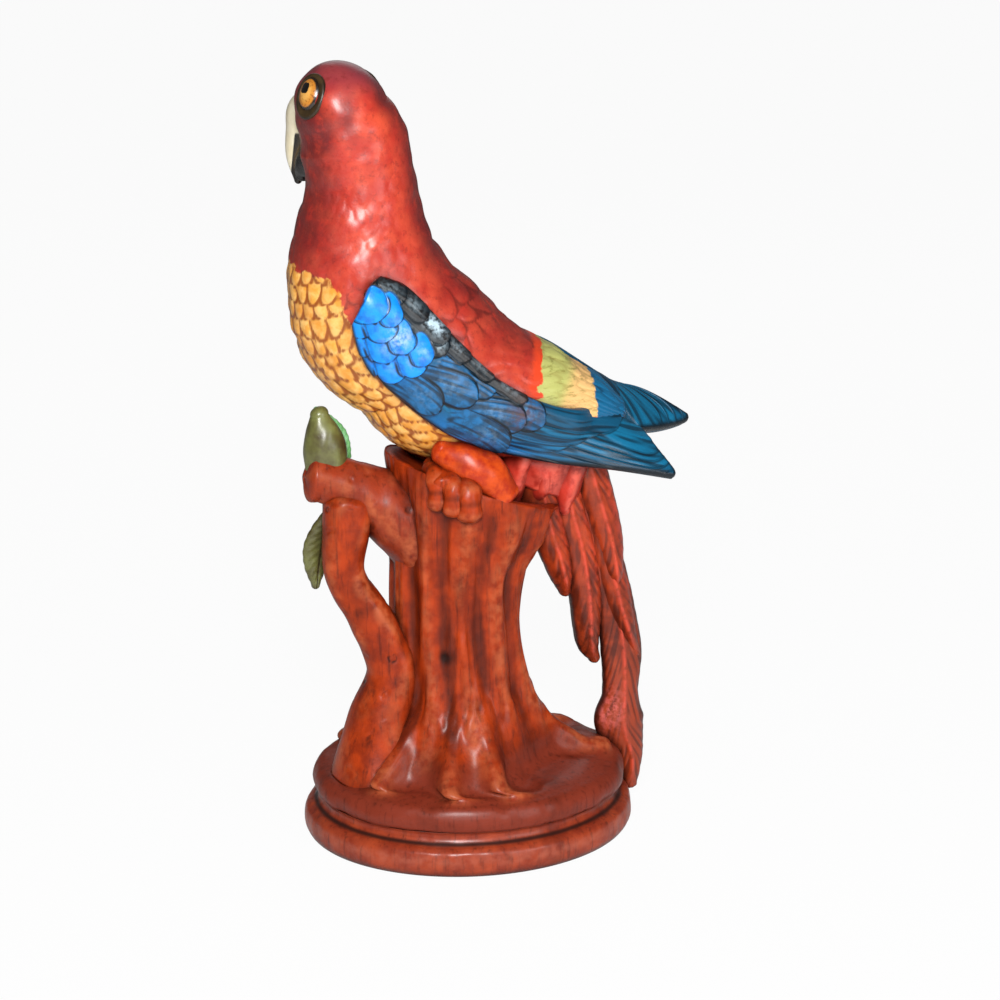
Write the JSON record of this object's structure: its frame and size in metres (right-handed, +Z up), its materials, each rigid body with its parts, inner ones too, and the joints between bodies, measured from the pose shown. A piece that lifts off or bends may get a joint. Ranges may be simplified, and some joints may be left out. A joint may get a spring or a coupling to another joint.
{
  "type": "parrot figurine",
  "caption": "Painted ceramic parrot perched on a tree stump with a side branch and leaves, its long tail reaching down over an oval plinth.",
  "frame": {"origin": "middle of the figure's outline seen from above, at the table", "axes": "+Z up; the bird's breast is toward -X and its tail toward +X; its left side, the side seen in the picture, is toward -Y"},
  "size_m": [0.2098, 0.142, 0.3792],
  "materials": {
    "bark_glaze": "satin",
    "olive_leaf": "satin",
    "pale_leaf": "satin",
    "red_plumage": "satin",
    "cream_beak": "satin",
    "black_beak": "gloss",
    "blue_plumage": "gloss",
    "eye_enamel": "gloss",
    "brown_eyelid": "satin",
    "orange_plumage": "satin",
    "tail_plumage": "satin"
  },
  "bodies": {
    "root": {"plinth": "bark_glaze", "tree_stump": "bark_glaze", "branch_stub": "bark_glaze", "side_shoot": "bark_glaze", "leaf_bud": "olive_leaf", "leaf_pale": "pale_leaf", "leaf_lower": "olive_leaf", "bird_body": "red_plumage", "beak_upper": "cream_beak", "beak_lower": "black_beak", "wing_left": "blue_plumage", "wing_right": "blue_plumage", "eye_left": "eye_enamel", "eyelid_left": "brown_eyelid", "thigh_left": "orange_plumage", "foot_left": "bark_glaze", "eye_right": "eye_enamel", "eyelid_right": "brown_eyelid", "thigh_right": "orange_plumage", "foot_right": "bark_glaze", "tail_feather_1": "tail_plumage", "tail_feather_2": "tail_plumage", "tail_feather_3": "tail_plumage", "tail_feather_4": "tail_plumage", "tail_feather_5": "tail_plumage", "tail_coverts": "tail_plumage"}
  },
  "joints": []
}
